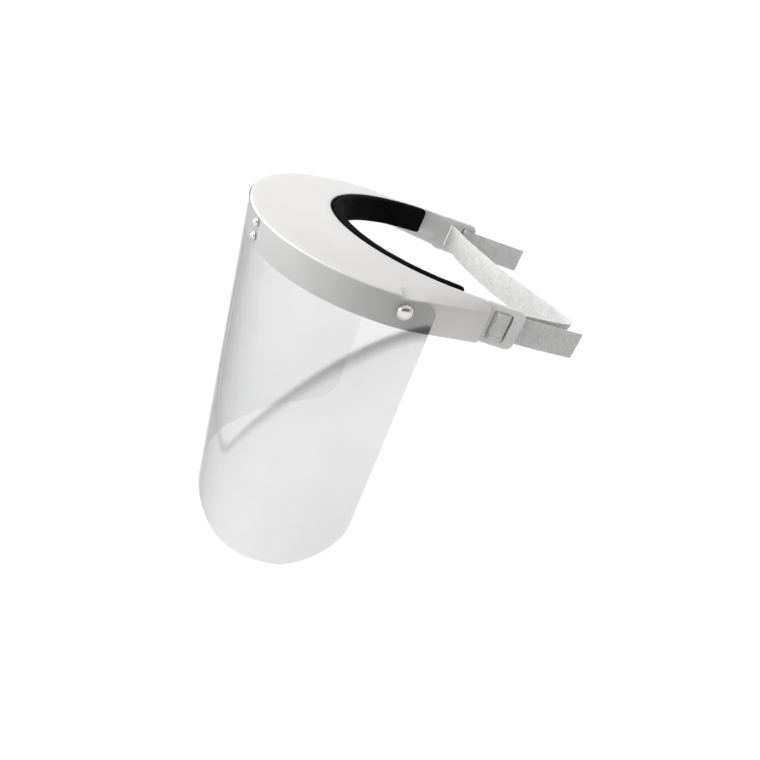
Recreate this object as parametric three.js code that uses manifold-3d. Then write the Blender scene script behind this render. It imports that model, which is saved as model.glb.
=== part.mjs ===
// Face shield: a white moulded crown with a sloping peak, a foam brow pad, a clear
// wrap-round sheet held by six press studs, and an elastic strap threaded through
// slotted end plates. Millimetres, +Z up, the wearer looks along -Y, and the
// wearer's left is +X. The origin is where the forehead meets the middle of the pad.
import * as THREE from 'three';
import { mergeVertices } from 'three/addons/utils/BufferGeometryUtils.js';
import Module from 'manifold-3d';

const wasm = await Module();
wasm.setup();

// ---- driving dimensions ------------------------------------------------------
const GAP = 0.3; // clearance between touching pieces

const PAD_HALF_WIDTH = 80; // outer ellipse of the brow pad
const PAD_DEPTH = 83.5;
const PAD_THICK = 8;
const PAD_HEIGHT = 19;
const PAD_SWEEP = 87; // degrees each side of the front
const TAPE_THICK = 0.8; // hook-and-loop strip behind the pad
const TAPE_HEIGHT = 16;
const TEMPLE_Y = PAD_DEPTH - PAD_THICK; // widest point of the head opening

const BAND_HALF_WIDTH = PAD_HALF_WIDTH + TAPE_THICK + 2 * GAP;
const BAND_DEPTH = PAD_DEPTH + TAPE_THICK + 2 * GAP;
const BAND_TOP = 8.3;
const BAND_BOTTOM = -9;
const WALL = 1.8; // moulded wall thickness

const PEAK_FRONT = 60.5; // fold of the peak ahead of the origin
const PEAK_HALF_WIDTH = 106;
const PEAK_WIDEST_Y = 26;
const FOLD_FRONT_Z = 0; // height of the fold at the front and at the sides
const FOLD_SIDE_Z = 2.5;
const RIM_HEIGHT = 20;
const RIM_LEAN = 7; // degrees the rim leans in at the front

const ARM_END_Y = 90; // where the hollow arm runs into the end plate
const ARM_END_X = 88.5;
const ARM_BOTTOM = -17.5;

const PLATE_THICK = 3;
const PLATE_FRONT_Y = 86;
const PLATE_BACK_Y = 113.5;
const PLATE_TOP = 8.6;
const PLATE_CORNER = 5;
const SLOT_FRONT_Y = 95.3;
const SLOT_BACK_Y = 104.9;
const SLOT_WIDTH = 3.4;

const STRAP_WIDTH = 17.4;
const STRAP_THICK = 1.2;
const STRAP_Z = -4.6; // mid height of the strap at the slots
const SLOT_HEIGHT = STRAP_WIDTH + 2 * GAP;

const SHEET_THICK = 0.5;
const SHEET_BACK_Y = 56; // straight rear edges of the sheet
const SHEET_DROP = 215; // front height of the sheet
const SHEET_SIDE_DROP = 160; // where the straight rear edge meets the round bottom
const SHEET_CORNER_RUN = 95; // length of the rounded corner along the sheet
const SHEET_SPREAD = 0.038; // how fast the rear edges drift rearwards going down
const SHEET_SPREAD_RUN = 60; // length of sheet over which that drift dies out
const SHEET_EAR = 9; // radius of the upper rear corner

const STUD_SIDE = { y: 37.4, z: -6.5, cap: 4.8 };
const STUD_FRONT = { angle: 46, z: [-4.2, -12.8], cap: 2.7 };

const NOTCH = { front: 32, back: 45, width: 9, depth: 2.2 };

// ---- materials ----------------------------------------------------------------
const finish = (color, roughness, metalness = 0, extra = {}) =>
  new THREE.MeshStandardMaterial({ color, roughness, metalness, ...extra });
const WHITE_PLASTIC = finish(0xf2f1ef, 0.42);
const BLACK_FOAM = finish(0x0a0a0a, 0.95);
const BLACK_TAPE = finish(0x101010, 0.9);
const CLEAR_SHEET = finish(0xe6eaec, 0.08, 0, { transparent: true, opacity: 0.3 });
const NICKEL = finish(0xc9c9c6, 0.22, 1);
const WEBBING = finish(0xd9d9d7, 0.9);

// ---- small helpers ---------------------------------------------------------------
const object = new THREE.Group();
const radians = THREE.MathUtils.degToRad;

function addPiece(name, geometry, material) {
  const mesh = new THREE.Mesh(geometry, material);
  mesh.name = name;
  object.add(mesh);
  return mesh;
}

// Share the vertices of a geometry and drop the faces that collapse when they are shared.
function merged(geometry) {
  const plain = geometry.clone();
  plain.deleteAttribute('normal');
  plain.deleteAttribute('uv');
  const g = mergeVertices(plain, 1e-4);
  const index = [];
  for (let i = 0; i < g.index.count; i += 3) {
    const [a, b, c] = [0, 1, 2].map((k) => g.index.getX(i + k));
    if (a !== b && b !== c && c !== a) index.push(a, b, c);
  }
  g.setIndex(index);
  return g;
}

function toSolid(geometry) {
  const g = merged(geometry);
  const vertProperties = new Float32Array(g.attributes.position.array);
  const triVerts = new Uint32Array(g.index.array);
  return new wasm.Manifold(new wasm.Mesh({ numProp: 3, vertProperties, triVerts }));
}

function fromSolid(solid) {
  const mesh = solid.getMesh();
  const g = new THREE.BufferGeometry();
  g.setAttribute('position', new THREE.BufferAttribute(mesh.vertProperties.slice(), 3));
  g.setIndex(new THREE.BufferAttribute(mesh.triVerts.slice(), 1));
  return g;
}

function cut(geometry, tools) {
  return fromSolid(tools.reduce((solid, tool) => solid.subtract(toSolid(tool)), toSolid(geometry)));
}

// Skin over a row of matching closed rings, with both ends capped.
function loft(rings, capOutline) {
  const n = rings[0].length;
  const position = rings.flat().flatMap((p) => [p.x, p.y, p.z]);
  const index = [];
  for (let i = 0; i + 1 < rings.length; i += 1) {
    for (let j = 0; j < n; j += 1) {
      const a = i * n + j;
      const b = i * n + ((j + 1) % n);
      index.push(a, b, b + n, a, b + n, a + n);
    }
  }
  const last = (rings.length - 1) * n;
  const turn = Math.sign(THREE.ShapeUtils.area(capOutline));
  for (const face of THREE.ShapeUtils.triangulateShape(capOutline, [])) {
    const sameTurn = THREE.ShapeUtils.area(face.map((k) => capOutline[k])) * turn > 0;
    const [a, b, c] = sameTurn ? face : [face[0], face[2], face[1]];
    index.push(a, c, b, last + a, last + b, last + c);
  }
  const g = new THREE.BufferGeometry();
  g.setAttribute('position', new THREE.Float32BufferAttribute(position, 3));
  g.setIndex(index);
  return outward(g);
}

// Turn the faces over when the enclosed volume comes out negative.
function outward(g) {
  const p = g.attributes.position;
  const [a, b, c] = [0, 1, 2].map(() => new THREE.Vector3());
  let volume = 0;
  for (let i = 0; i < g.index.count; i += 3) {
    a.fromBufferAttribute(p, g.index.getX(i));
    b.fromBufferAttribute(p, g.index.getX(i + 1));
    c.fromBufferAttribute(p, g.index.getX(i + 2));
    volume += a.dot(b.cross(c));
  }
  if (volume < 0) g.index.array.reverse();
  return g;
}

// ---- plan curves ----------------------------------------------------------------
// Point of an ellipse of the head opening, by angle from the front.
function ellipsePoint(halfWidth, depth, angle) {
  return new THREE.Vector2(
    halfWidth * Math.sin(angle),
    TEMPLE_Y - depth * Math.cos(angle),
  );
}

// Fold of the peak and arms on the +X side: front to widest, then widest to end plate.
const foldFront = new THREE.CubicBezierCurve(
  new THREE.Vector2(0, -PEAK_FRONT),
  new THREE.Vector2(58, -PEAK_FRONT),
  new THREE.Vector2(PEAK_HALF_WIDTH - 3, -PEAK_WIDEST_Y),
  new THREE.Vector2(PEAK_HALF_WIDTH, PEAK_WIDEST_Y),
);
const foldArm = new THREE.CubicBezierCurve(
  new THREE.Vector2(PEAK_HALF_WIDTH, PEAK_WIDEST_Y),
  new THREE.Vector2(PEAK_HALF_WIDTH + 1, PEAK_WIDEST_Y + 20),
  new THREE.Vector2(97.5, 62),
  new THREE.Vector2(ARM_END_X, ARM_END_Y),
);

// Parameter at which a plan curve that runs steadily rearwards reaches a given y.
function parameterAt(curve, y) {
  let [low, high] = [0, 1];
  for (let i = 0; i < 40; i += 1) {
    const middle = (low + high) / 2;
    if (curve.getPoint(middle).y < y) low = middle;
    else high = middle;
  }
  return low;
}

// Height of the fold, rising evenly from the front to the widest point.
function foldHeight(y) {
  const t = THREE.MathUtils.clamp((y + PEAK_FRONT) / (PEAK_WIDEST_Y + PEAK_FRONT), 0, 1);
  return FOLD_FRONT_Z + (FOLD_SIDE_Z - FOLD_FRONT_Z) * t;
}

// Inward lean of the rim, full at the front and none at the widest point.
function leanAt(y) {
  const t = THREE.MathUtils.clamp((PEAK_WIDEST_Y - y) / (PEAK_WIDEST_Y + PEAK_FRONT), 0, 1);
  return Math.tan(radians(RIM_LEAN)) * t;
}

const mirrored = (p) => new THREE.Vector2(-p.x, p.y);

// ---- crown ------------------------------------------------------------------------
// One station of the crown: where the band's inner face and the fold lie in plan.
function crownStations() {
  const half = [];
  const FRONT_STEPS = 22;
  const SIDE_STEPS = 12;
  const widestAngle = Math.acos((TEMPLE_Y - PEAK_WIDEST_Y) / BAND_DEPTH);
  for (let i = 0; i <= FRONT_STEPS; i += 1) {
    const t = i / FRONT_STEPS;
    const inner = ellipsePoint(BAND_HALF_WIDTH, BAND_DEPTH, widestAngle * t);
    half.push({ inner, outer: foldFront.getPoint(t) });
  }
  for (let i = 1; i <= SIDE_STEPS; i += 1) {
    const outer = foldArm.getPoint(i / SIDE_STEPS);
    const reach = THREE.MathUtils.clamp((TEMPLE_Y - outer.y) / BAND_DEPTH, 0, 1);
    const inner = ellipsePoint(BAND_HALF_WIDTH, BAND_DEPTH, Math.acos(reach));
    inner.y = Math.max(inner.y, outer.y);
    half.push({ inner, outer });
  }
  const otherHalf = half.slice(1).reverse();
  return [
    ...otherHalf.map((s) => ({ inner: mirrored(s.inner), outer: mirrored(s.outer) })),
    ...half,
  ];
}

// Cross-section of the crown at a station: band wall, sloping peak and leaning rim.
function crownSection(width, y) {
  const fold = foldHeight(y);
  const along = THREE.MathUtils.clamp((y - PEAK_WIDEST_Y) / (ARM_END_Y - PEAK_WIDEST_Y), 0, 1);
  const rimBottom = THREE.MathUtils.lerp(fold - RIM_HEIGHT, ARM_BOTTOM, along);
  const leanShift = leanAt(y) * (fold - rimBottom);
  const foldDrop = WALL * 1.1;
  return [
    [0, BAND_BOTTOM],
    [0, BAND_TOP],
    [WALL, BAND_TOP],
    [width - 0.6, fold + 0.25],
    [width, fold - 0.6],
    [width - leanShift, rimBottom],
    [width - leanShift - WALL, rimBottom],
    [width - WALL, fold - foldDrop],
    [WALL, BAND_TOP - foldDrop - 0.6],
    [WALL, BAND_BOTTOM],
  ].map(([w, z]) => new THREE.Vector2(w, z));
}

function crownShell() {
  const rings = crownStations().map(({ inner, outer }) => {
    const across = outer.clone().sub(inner);
    const width = across.length();
    across.normalize();
    return crownSection(width, outer.y).map(
      (p) => new THREE.Vector3(inner.x + across.x * p.x, inner.y + across.y * p.x, p.y),
    );
  });
  return loft(rings, crownSection(12, PEAK_WIDEST_Y));
}

// Rounded end plate on the side given by sign.
function endPlate(sign) {
  const bottom = ARM_BOTTOM;
  const r = PLATE_CORNER;
  const outline = new THREE.Shape();
  outline.moveTo(PLATE_FRONT_Y, bottom);
  outline.lineTo(PLATE_BACK_Y - r, bottom);
  outline.absarc(PLATE_BACK_Y - r, bottom + r, r, -Math.PI / 2, 0);
  outline.lineTo(PLATE_BACK_Y, PLATE_TOP - r);
  outline.absarc(PLATE_BACK_Y - r, PLATE_TOP - r, r, 0, Math.PI / 2);
  outline.lineTo(PLATE_FRONT_Y, PLATE_TOP);
  const g = new THREE.ExtrudeGeometry(outline, {
    depth: PLATE_THICK,
    bevelEnabled: false,
    curveSegments: 8,
  });
  // shape x runs along Y and shape y along Z, so the thickness runs along X
  g.applyMatrix4(new THREE.Matrix4().makeBasis(
    new THREE.Vector3(0, 1, 0),
    new THREE.Vector3(0, 0, 1),
    new THREE.Vector3(1, 0, 0),
  ));
  const inner = BAND_HALF_WIDTH;
  g.translate(sign > 0 ? inner : -inner - PLATE_THICK, 0, 0);
  return g;
}

// The two strap slots of an end plate.
function slotTools(sign) {
  return [SLOT_FRONT_Y, SLOT_BACK_Y].map((y) => {
    const g = new THREE.BoxGeometry(PLATE_THICK * 3, SLOT_WIDTH, SLOT_HEIGHT);
    g.translate(sign * (BAND_HALF_WIDTH + PLATE_THICK / 2), y, STRAP_Z);
    return g;
  });
}

// Shallow ramped recess in the peak's margin above each side stud.
function notchTool(sign) {
  const { front, back, width, depth } = NOTCH;
  const profile = new THREE.Shape();
  profile.moveTo(front, FOLD_SIDE_Z - depth + 1.4);
  profile.lineTo(back, FOLD_SIDE_Z + 4.5);
  profile.lineTo(back, FOLD_SIDE_Z + 12);
  profile.lineTo(front, FOLD_SIDE_Z + 12);
  const g = new THREE.ExtrudeGeometry(profile, { depth: width, bevelEnabled: false });
  g.applyMatrix4(new THREE.Matrix4().makeBasis(
    new THREE.Vector3(0, 1, 0),
    new THREE.Vector3(0, 0, 1),
    new THREE.Vector3(1, 0, 0),
  ));
  const inner = PEAK_HALF_WIDTH - width + 1;
  g.translate(sign > 0 ? inner : -inner - width, 0, 0);
  return g;
}

// ---- press studs ------------------------------------------------------------------
// Where each stud stands on the rim's outer face, and which way it points.
function studSeats() {
  const seats = [];
  const at = (curvePoint, tangent, z, name, cap) => {
    const lean = leanAt(curvePoint.y);
    const normal2 = new THREE.Vector2(tangent.y, -tangent.x).normalize();
    const drop = foldHeight(curvePoint.y) - z;
    const origin = new THREE.Vector3(
      curvePoint.x - normal2.x * lean * drop,
      curvePoint.y - normal2.y * lean * drop,
      z,
    );
    const normal = new THREE.Vector3(normal2.x, normal2.y, -lean).normalize();
    for (const sign of [1, -1]) {
      seats.push({
        name: `${name}_${sign > 0 ? 'left' : 'right'}`,
        origin: new THREE.Vector3(sign * origin.x, origin.y, origin.z),
        normal: new THREE.Vector3(sign * normal.x, normal.y, normal.z),
        cap,
      });
    }
  };
  const sideT = parameterAt(foldArm, STUD_SIDE.y);
  const side = foldArm.getPoint(sideT);
  at(side, foldArm.getTangent(sideT), STUD_SIDE.z, 'side', STUD_SIDE.cap);
  const frontT = STUD_FRONT.angle / 160;
  const front = foldFront.getPoint(frontT);
  const frontTangent = foldFront.getTangent(frontT);
  STUD_FRONT.z.forEach((z, i) => {
    at(front, frontTangent, z, i === 0 ? 'front_upper' : 'front_lower', STUD_FRONT.cap);
  });
  return seats;
}

// Turn a lathed piece, made round +Y, to stand on a stud seat at a height off the rim.
function seated(geometry, seat, lift = 0) {
  const turn = new THREE.Quaternion().setFromUnitVectors(new THREE.Vector3(0, 1, 0), seat.normal);
  const place = seat.origin.clone().addScaledVector(seat.normal, lift);
  return geometry.clone().applyMatrix4(
    new THREE.Matrix4().compose(place, turn, new THREE.Vector3(1, 1, 1)),
  );
}

const lathe = (points, segments = 20) =>
  new THREE.LatheGeometry(points.map(([r, h]) => new THREE.Vector2(r, h)), segments);

const SHANK = 0.36; // radii as shares of the cap's radius
const POST = 0.46;
const sheetOuter = GAP + SHEET_THICK; // sheet's outer face above the rim

function studGeometry(cap) {
  const shank = cap * SHANK;
  const post = cap * POST;
  const top = sheetOuter + 1.5;
  return lathe([
    [0, -WALL - 1.3],
    [cap * 0.58, -WALL - 1.3],
    [cap * 0.58, -WALL - GAP],
    [shank, -WALL - GAP],
    [shank, 0.1],
    [post * 0.86, 0.1],
    [post * 0.86, sheetOuter + 0.3],
    [post, sheetOuter + 0.8],
    [post * 0.8, top],
    [0, top],
  ]);
}

function capGeometry(cap) {
  const base = sheetOuter + GAP;
  const bore = cap * POST + GAP;
  const roof = sheetOuter + 1.5 + GAP;
  return lathe([
    [0, roof],
    [bore, roof],
    [bore, base],
    [cap, base],
    [cap * 0.97, base + 0.7],
    [cap * 0.8, base + 1.5],
    [cap * 0.5, base + 2.1],
    [0, base + 2.4],
  ]);
}

const holeTool = (radius, from, to) => lathe([[0, from], [radius, from], [radius, to], [0, to]]);

const seats = studSeats();

function crown() {
  let solid = toSolid(crownShell());
  for (const sign of [1, -1]) {
    solid = solid.add(toSolid(endPlate(sign)));
    for (const tool of [notchTool(sign), ...slotTools(sign)]) {
      solid = solid.subtract(toSolid(tool));
    }
  }
  for (const seat of seats) {
    const hole = holeTool(seat.cap * SHANK + GAP, -WALL - 2, 2);
    solid = solid.subtract(toSolid(seated(hole, seat)));
  }
  return fromSolid(solid);
}

// ---- brow pad and its strip ----------------------------------------------------------
function browArc(halfWidth, depth, thick, height, sweep) {
  const rings = [];
  const STEPS = 44;
  for (let i = 0; i <= STEPS; i += 1) {
    const angle = radians(sweep) * (2 * i / STEPS - 1);
    const outer = ellipsePoint(halfWidth, depth, angle);
    const inner = ellipsePoint(halfWidth - thick, depth - thick, angle);
    rings.push([
      new THREE.Vector3(inner.x, inner.y, -height / 2),
      new THREE.Vector3(inner.x, inner.y, height / 2),
      new THREE.Vector3(outer.x, outer.y, height / 2),
      new THREE.Vector3(outer.x, outer.y, -height / 2),
    ]);
  }
  const cap = [[0, 0], [0, 1], [1, 1], [1, 0]].map(([x, y]) => new THREE.Vector2(x, y));
  return loft(rings, cap);
}

// ---- clear sheet ----------------------------------------------------------------------
// Stations round the rim, rear edge to rear edge, with outward normals. They close up
// towards the rear edges, where the rounded corners turn fastest.
function sheetStations(frontSteps, cornerSteps) {
  const path = [];
  const SAMPLES = 120;
  const sample = (curve, upTo) => {
    for (let i = path.length ? 1 : 0; i <= SAMPLES; i += 1) {
      const t = (upTo * i) / SAMPLES;
      path.push({ p: curve.getPoint(t), d: curve.getTangent(t) });
    }
  };
  sample(foldFront, 1);
  sample(foldArm, parameterAt(foldArm, SHEET_BACK_Y));
  const lengths = [0];
  for (let i = 1; i < path.length; i += 1) {
    lengths.push(lengths[i - 1] + path[i].p.distanceTo(path[i - 1].p));
  }
  const total = lengths[lengths.length - 1];
  const stops = [];
  for (let k = 0; k < frontSteps; k += 1) {
    stops.push(((total - SHEET_CORNER_RUN) * k) / frontSteps);
  }
  for (let k = 0; k <= cornerSteps; k += 1) {
    const turn = (Math.PI / 2) * (1 - k / cornerSteps);
    stops.push(total - SHEET_CORNER_RUN * (1 - Math.cos(turn)));
  }
  const half = stops.map((s) => {
    const i = Math.max(lengths.findIndex((length) => length >= s - 1e-6), 1);
    const t = (s - lengths[i - 1]) / (lengths[i] - lengths[i - 1]);
    const p = path[i - 1].p.clone().lerp(path[i].p, t);
    const d = path[i - 1].d.clone().lerp(path[i].d, t).normalize();
    return { p, along: d, normal: new THREE.Vector2(d.y, -d.x), fromEdge: total - s };
  });
  const other = half.slice(1).reverse().map((s) => ({
    p: mirrored(s.p),
    along: mirrored(s.along),
    normal: mirrored(s.normal),
    fromEdge: s.fromEdge,
  }));
  return [...other, ...half];
}

// Depth of the sheet's round-cornered lower edge at a distance from the rear edge.
function lowerEdge(fromEdge) {
  const t = Math.max(0, 1 - fromEdge / SHEET_CORNER_RUN);
  return SHEET_SIDE_DROP + (SHEET_DROP - SHEET_SIDE_DROP) * Math.sqrt(1 - t * t);
}

// Height of the sheet's upper edge: along the fold, with a rounded ear at the rear.
function upperEdge(p, fromEdge) {
  const t = Math.max(0, 1 - fromEdge / SHEET_EAR);
  const ear = SHEET_EAR * (1 - Math.sqrt(1 - t * t));
  return foldHeight(p.y) - 0.8 - ear;
}

function sheet() {
  const ROWS = 6;
  const stations = sheetStations(13, 26);
  const rings = stations.map(({ p, along, normal, fromEdge }) => {
    const top = upperEdge(p, fromEdge);
    const bottom = -lowerEdge(fromEdge);
    const fold = foldHeight(p.y);
    const lean = leanAt(p.y);
    const nearEdge = Math.max(0, 1 - fromEdge / SHEET_SPREAD_RUN);
    const spread = SHEET_SPREAD * nearEdge * nearEdge;
    const point = (z, off) => {
      const inset = lean * (fold - z);
      const drift = spread * Math.max(0, top - z);
      return new THREE.Vector3(
        p.x + normal.x * (off - inset) + along.x * drift,
        p.y + normal.y * (off - inset) + along.y * drift,
        z,
      );
    };
    const ring = [];
    for (let j = 0; j <= ROWS; j += 1) {
      ring.push(point(top + ((bottom - top) * j) / ROWS, GAP + SHEET_THICK));
    }
    for (let j = ROWS; j >= 0; j -= 1) {
      ring.push(point(top + ((bottom - top) * j) / ROWS, GAP));
    }
    return ring;
  });
  const cap = [];
  for (let j = 0; j <= ROWS; j += 1) cap.push(new THREE.Vector2(1, -j));
  for (let j = ROWS; j >= 0; j -= 1) cap.push(new THREE.Vector2(0, -j));
  return cut(loft(rings, cap), seats.map((seat) => {
    const hole = holeTool(seat.cap * POST + GAP, -0.2, 2);
    return seated(hole, seat);
  }));
}

// ---- strap ---------------------------------------------------------------------------
// A run of webbing standing on edge along a plan route. Its top may lean out of the loop
// by an angle that changes evenly from the start of the run to its end.
function webbing(route, steps, leanStart = 0, leanEnd = leanStart) {
  const curve = new THREE.CatmullRomCurve3(
    route.map(([x, y]) => new THREE.Vector3(x, y, STRAP_Z)),
    false,
    'centripetal',
  );
  const corners = [[-1, -1], [-1, 1], [1, 1], [1, -1]];
  const rings = [];
  for (let i = 0; i <= steps; i += 1) {
    const p = curve.getPointAt(i / steps);
    const d = curve.getTangentAt(i / steps);
    const lean = radians(THREE.MathUtils.lerp(leanStart, leanEnd, i / steps));
    const out = new THREE.Vector3(-d.y, d.x, 0);
    const up = new THREE.Vector3(0, 0, Math.cos(lean)).addScaledVector(out, Math.sin(lean));
    const face = new THREE.Vector3(0, 0, -Math.sin(lean)).addScaledVector(out, Math.cos(lean));
    rings.push(corners.map(([f, u]) => p.clone()
      .addScaledVector(face, (f * STRAP_THICK) / 2)
      .addScaledVector(up, (u * STRAP_WIDTH) / 2)));
  }
  return loft(rings, corners.map(([x, y]) => new THREE.Vector2(x, y)));
}

const plateInner = BAND_HALF_WIDTH;
const plateOuter = BAND_HALF_WIDTH + PLATE_THICK;
const overPost = plateOuter + GAP + STRAP_THICK / 2;
const besidePlate = plateInner - GAP - STRAP_THICK / 2;
const besideTail = besidePlate - STRAP_THICK - 2 * GAP;

// The strap's turn round the post of an end plate: out of the front slot, in at the back
// one and along the inner face to the plate's rear edge. The entry is where the main run
// comes up to the plate's inner face.
const loopRoute = (entry) => [
  ...entry,
  [plateInner, SLOT_FRONT_Y - 0.2],
  [plateOuter - 0.6, SLOT_FRONT_Y + 0.1],
  [overPost, SLOT_FRONT_Y + 2.2],
  [overPost + 0.3, (SLOT_FRONT_Y + SLOT_BACK_Y) / 2],
  [overPost, SLOT_BACK_Y - 2.2],
  [plateOuter - 0.6, SLOT_BACK_Y - 0.1],
  [plateInner + 0.8, SLOT_BACK_Y],
  [besidePlate + 0.7, SLOT_BACK_Y + 0.2],
  [besidePlate + 0.1, SLOT_BACK_Y + 0.9],
  [besidePlate, SLOT_BACK_Y + 2],
  [besidePlate, PLATE_BACK_Y - 0.3],
];
const entryLeft = [[besideTail, SLOT_FRONT_Y + 7], [besideTail + 0.3, SLOT_FRONT_Y + 2]];
const entryRight = [[74.5, SLOT_FRONT_Y + 1.6], [78.6, SLOT_FRONT_Y + 0.4]];
const tailStart = [besidePlate, PLATE_BACK_Y + 0.6]; // where a free tail hinges

const mirrorRoute = (route) => route.map(([x, y]) => [-x, y]);

addPiece('crown', crown(), WHITE_PLASTIC);
addPiece(
  'brow_pad',
  browArc(PAD_HALF_WIDTH, PAD_DEPTH, PAD_THICK, PAD_HEIGHT, PAD_SWEEP),
  BLACK_FOAM,
);
const tapeReach = GAP + TAPE_THICK;
addPiece(
  'pad_strip',
  browArc(PAD_HALF_WIDTH + tapeReach, PAD_DEPTH + tapeReach, TAPE_THICK, TAPE_HEIGHT, PAD_SWEEP - 2),
  BLACK_TAPE,
);
addPiece('shield', sheet(), CLEAR_SHEET);
for (const seat of seats) {
  addPiece(`stud_${seat.name}`, merged(seated(studGeometry(seat.cap), seat)), NICKEL);
  addPiece(`cap_${seat.name}`, merged(seated(capGeometry(seat.cap), seat)), NICKEL);
}

// The strap, from the wearer's right end plate round the back to the left one. The
// adjuster end is off to the left, so the loop hangs towards that side.
const LEAN_BACK = 14;
const LEAN_TURN = 6;
const [tailX, tailY] = tailStart;
const sideRight = [[-74.1, SLOT_FRONT_Y + 1.8], [-55, 101], [-32, 108.5]];
const back = [[-31.6, 108.7], [-4, 120], [24, 137], [46, 150.5], [53, 153.6], [59, 151.5], [63, 146]];
const sideLeft = [[63.4, 145.4], [70, 129], [besideTail - 0.4, SLOT_FRONT_Y + 7.6]];
addPiece('strap_loop_left', webbing(loopRoute(entryLeft), 36), WEBBING);
addPiece('strap_loop_right', webbing(mirrorRoute(loopRoute(entryRight)), 36), WEBBING);
addPiece('strap_tail_left', webbing([[tailX, tailY], [78.1, 130], [72.5, 157]], 10), WEBBING);
addPiece('strap_tail_right', webbing([[-tailX, tailY], [-80.5, 130], [-81.5, 156]], 10), WEBBING);
addPiece('strap_side_right', webbing(sideRight, 12, 0, LEAN_BACK), WEBBING);
addPiece('strap_back', webbing(back, 30, LEAN_BACK, LEAN_TURN), WEBBING);
addPiece('strap_side_left', webbing(sideLeft, 10, LEAN_TURN, 0), WEBBING);

export default object;
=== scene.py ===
import math

import bmesh
import bpy
import numpy as np
from mathutils import Matrix, Vector, noise


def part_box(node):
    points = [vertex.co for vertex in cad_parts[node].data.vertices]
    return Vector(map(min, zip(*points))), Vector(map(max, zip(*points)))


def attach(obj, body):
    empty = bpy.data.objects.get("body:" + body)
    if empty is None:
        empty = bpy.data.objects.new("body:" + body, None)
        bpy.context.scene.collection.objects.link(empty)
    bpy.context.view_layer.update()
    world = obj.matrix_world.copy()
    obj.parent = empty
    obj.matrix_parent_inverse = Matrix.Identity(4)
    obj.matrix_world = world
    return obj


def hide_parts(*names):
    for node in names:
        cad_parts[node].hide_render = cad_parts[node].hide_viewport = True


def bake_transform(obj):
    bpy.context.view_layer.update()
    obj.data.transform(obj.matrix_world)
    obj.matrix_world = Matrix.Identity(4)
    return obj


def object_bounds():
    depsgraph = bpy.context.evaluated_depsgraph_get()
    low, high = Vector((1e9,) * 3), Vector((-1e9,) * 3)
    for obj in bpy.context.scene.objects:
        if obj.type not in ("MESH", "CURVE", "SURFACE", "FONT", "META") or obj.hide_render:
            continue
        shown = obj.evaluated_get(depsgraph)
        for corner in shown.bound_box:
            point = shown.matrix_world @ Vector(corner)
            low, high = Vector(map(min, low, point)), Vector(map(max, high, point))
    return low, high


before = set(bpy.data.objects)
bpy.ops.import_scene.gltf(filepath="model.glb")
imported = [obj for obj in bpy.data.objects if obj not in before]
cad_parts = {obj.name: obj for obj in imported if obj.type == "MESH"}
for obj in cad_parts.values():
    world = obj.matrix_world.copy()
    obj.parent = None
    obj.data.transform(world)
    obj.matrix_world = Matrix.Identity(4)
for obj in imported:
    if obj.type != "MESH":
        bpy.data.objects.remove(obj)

MM = 0.001
CAD_LOW, CAD_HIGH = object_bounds()

# ---- dimensions shared with the CAD model ----------------------------------------------
GAP = 0.3 * MM
PAD_HALF_WIDTH = 80 * MM
PAD_DEPTH = 83.5 * MM
PAD_THICK = 8 * MM
PAD_HEIGHT = 19 * MM
PAD_SWEEP = math.radians(87)
PAD_SHIFT = math.radians(1.6)  # the pad is stuck on a little towards the wearer's left
TAPE_THICK = 0.8 * MM
TAPE_HEIGHT = 16 * MM
TEMPLE_Y = PAD_DEPTH - PAD_THICK

BAND_HALF_WIDTH = PAD_HALF_WIDTH + TAPE_THICK + 2 * GAP
BAND_DEPTH = PAD_DEPTH + TAPE_THICK + 2 * GAP
BAND_TOP = 8.3 * MM
BAND_BOTTOM = -9 * MM
WALL = 1.8 * MM

PEAK_FRONT = 60.5 * MM
PEAK_HALF_WIDTH = 106 * MM
PEAK_WIDEST_Y = 26 * MM
FOLD_SIDE_Z = 2.5 * MM
RIM_HEIGHT = 20 * MM
RIM_LEAN = math.tan(math.radians(7))

ARM_END_X = 88.5 * MM
ARM_END_Y = 90 * MM
ARM_BOTTOM = -17.5 * MM

PLATE_THICK = 3 * MM
PLATE_FRONT_Y = 86 * MM
PLATE_BACK_Y = 113.5 * MM
PLATE_TOP = 8.6 * MM
PLATE_CORNER = 5 * MM
SLOT_FRONT_Y = 95.3 * MM
SLOT_BACK_Y = 104.9 * MM
SLOT_WIDTH = 3.4 * MM

STRAP_WIDTH = 17.4 * MM
STRAP_THICK = 1.2 * MM
STRAP_Z = -4.6 * MM

SHEET_THICK = 0.5 * MM
SHEET_BACK_Y = 56 * MM
SHEET_DROP = 215 * MM
SHEET_SIDE_DROP = 160 * MM
SHEET_CORNER_RUN = 95 * MM
SHEET_SPREAD = 0.038
SHEET_SPREAD_RUN = 60 * MM
SHEET_EAR = 9 * MM

# ---- camera ------------------------------------------------------------------------------
AZIMUTH = math.radians(74.9)
ELEVATION = math.radians(24.9)
ROLL = math.radians(23.6)
DISTANCE = 541 * MM
AIM = Vector((39.7, 57.7, -83.0)) * MM
LENS, SENSOR_WIDTH = 37.9, 36


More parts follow.
